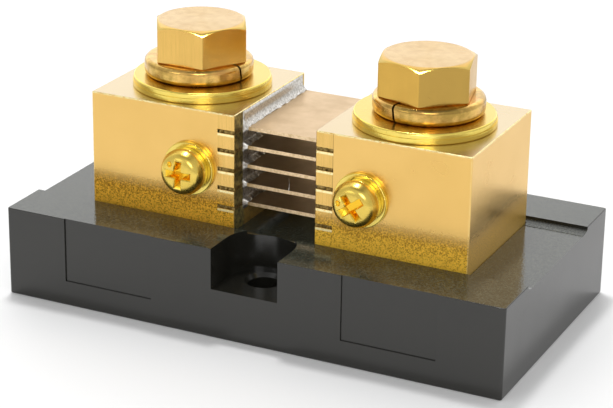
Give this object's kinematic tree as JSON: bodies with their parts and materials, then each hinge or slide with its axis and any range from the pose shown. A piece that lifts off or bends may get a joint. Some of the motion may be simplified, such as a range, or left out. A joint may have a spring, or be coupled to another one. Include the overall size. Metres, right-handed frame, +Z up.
{
  "type": "battery monitor shunt",
  "caption": "Battery monitor shunt: brass terminal blocks joined by resistor plates on a black moulded base, with clamp bolts and sense screws.",
  "frame": {"origin": "middle of the base's underside", "axes": "+X along the base from the left block to the right block, +Z up, sense screws face -Y"},
  "size_m": [0.087, 0.0462, 0.0446],
  "materials": {
    "base_plastic": "glossy black moulded thermoset",
    "block_brass": "milled and finely brushed",
    "resistor_alloy": "rolled manganin strip, satin",
    "solder": "dull solder",
    "bolt_brass": "machined, satin",
    "washer_brass": "stamped, bright",
    "spring_bronze": "wound bronze, bright",
    "screw_brass": "bright brass",
    "fixing_steel": "zinc plated"
  },
  "bodies": {
    "shunt_body": {"base": "base_plastic", "left_block": "block_brass", "left_solder": "solder", "left_block_fixing_screws": "fixing_steel", "left_block_fixing_washers": "fixing_steel", "right_block": "block_brass", "right_solder": "solder", "right_block_fixing_screws": "fixing_steel", "right_block_fixing_washers": "fixing_steel", "resistor_plate_1": "resistor_alloy", "resistor_plate_2": "resistor_alloy", "resistor_plate_3": "resistor_alloy", "resistor_plate_4": "resistor_alloy", "resistor_plate_5": "resistor_alloy"},
    "left_terminal_washers": {"left_flat_washer": "washer_brass", "left_spring_washer": "spring_bronze"},
    "left_terminal_bolt": {"left_terminal_bolt": "bolt_brass"},
    "left_sense_washers": {"left_sense_flat_washer": "screw_brass", "left_sense_spring_washer": "screw_brass"},
    "left_sense_screw": {"left_sense_screw": "screw_brass"},
    "right_terminal_washers": {"right_flat_washer": "washer_brass", "right_spring_washer": "spring_bronze"},
    "right_terminal_bolt": {"right_terminal_bolt": "bolt_brass"},
    "right_sense_washers": {"right_sense_flat_washer": "screw_brass", "right_sense_spring_washer": "screw_brass"},
    "right_sense_screw": {"right_sense_screw": "screw_brass"}
  },
  "joints": [
    {"name": "left_bolt_lift", "type": "slide", "parent": "shunt_body", "child": "left_terminal_washers", "axis": [0, 0, 1], "range_m": [0, 0.015]},
    {"name": "left_bolt_turn", "type": "hinge", "parent": "left_terminal_washers", "child": "left_terminal_bolt", "pos_m": [-0.0199, 0, 0.03829], "axis": [0, 0, 1], "range_deg": [0, 3610]},
    {"name": "left_sense_lift", "type": "slide", "parent": "shunt_body", "child": "left_sense_washers", "axis": [0, -1, 0], "range_m": [0, 0.00595]},
    {"name": "left_sense_turn", "type": "hinge", "parent": "left_sense_washers", "child": "left_sense_screw", "pos_m": [-0.01515, -0.01445, 0.0237], "axis": [0, -1, 0], "range_deg": [0, 3070]},
    {"name": "right_bolt_lift", "type": "slide", "parent": "shunt_body", "child": "right_terminal_washers", "axis": [0, 0, 1], "range_m": [0, 0.015]},
    {"name": "right_bolt_turn", "type": "hinge", "parent": "right_terminal_washers", "child": "right_terminal_bolt", "pos_m": [0.02025, 0, 0.03829], "axis": [0, 0, 1], "range_deg": [0, 3610]},
    {"name": "right_sense_lift", "type": "slide", "parent": "shunt_body", "child": "right_sense_washers", "axis": [0, -1, 0], "range_m": [0, 0.00595]},
    {"name": "right_sense_turn", "type": "hinge", "parent": "right_sense_washers", "child": "right_sense_screw", "pos_m": [0.01515, -0.01445, 0.0237], "axis": [0, -1, 0], "range_deg": [0, 3070]}
  ],
  "couplings": [
    {"joint": "left_bolt_turn", "follows": "left_bolt_lift", "rad_per_m": 4188.8},
    {"joint": "left_sense_turn", "follows": "left_sense_lift", "rad_per_m": 8976},
    {"joint": "right_bolt_turn", "follows": "right_bolt_lift", "rad_per_m": 4188.8},
    {"joint": "right_sense_turn", "follows": "right_sense_lift", "rad_per_m": 8976}
  ]
}
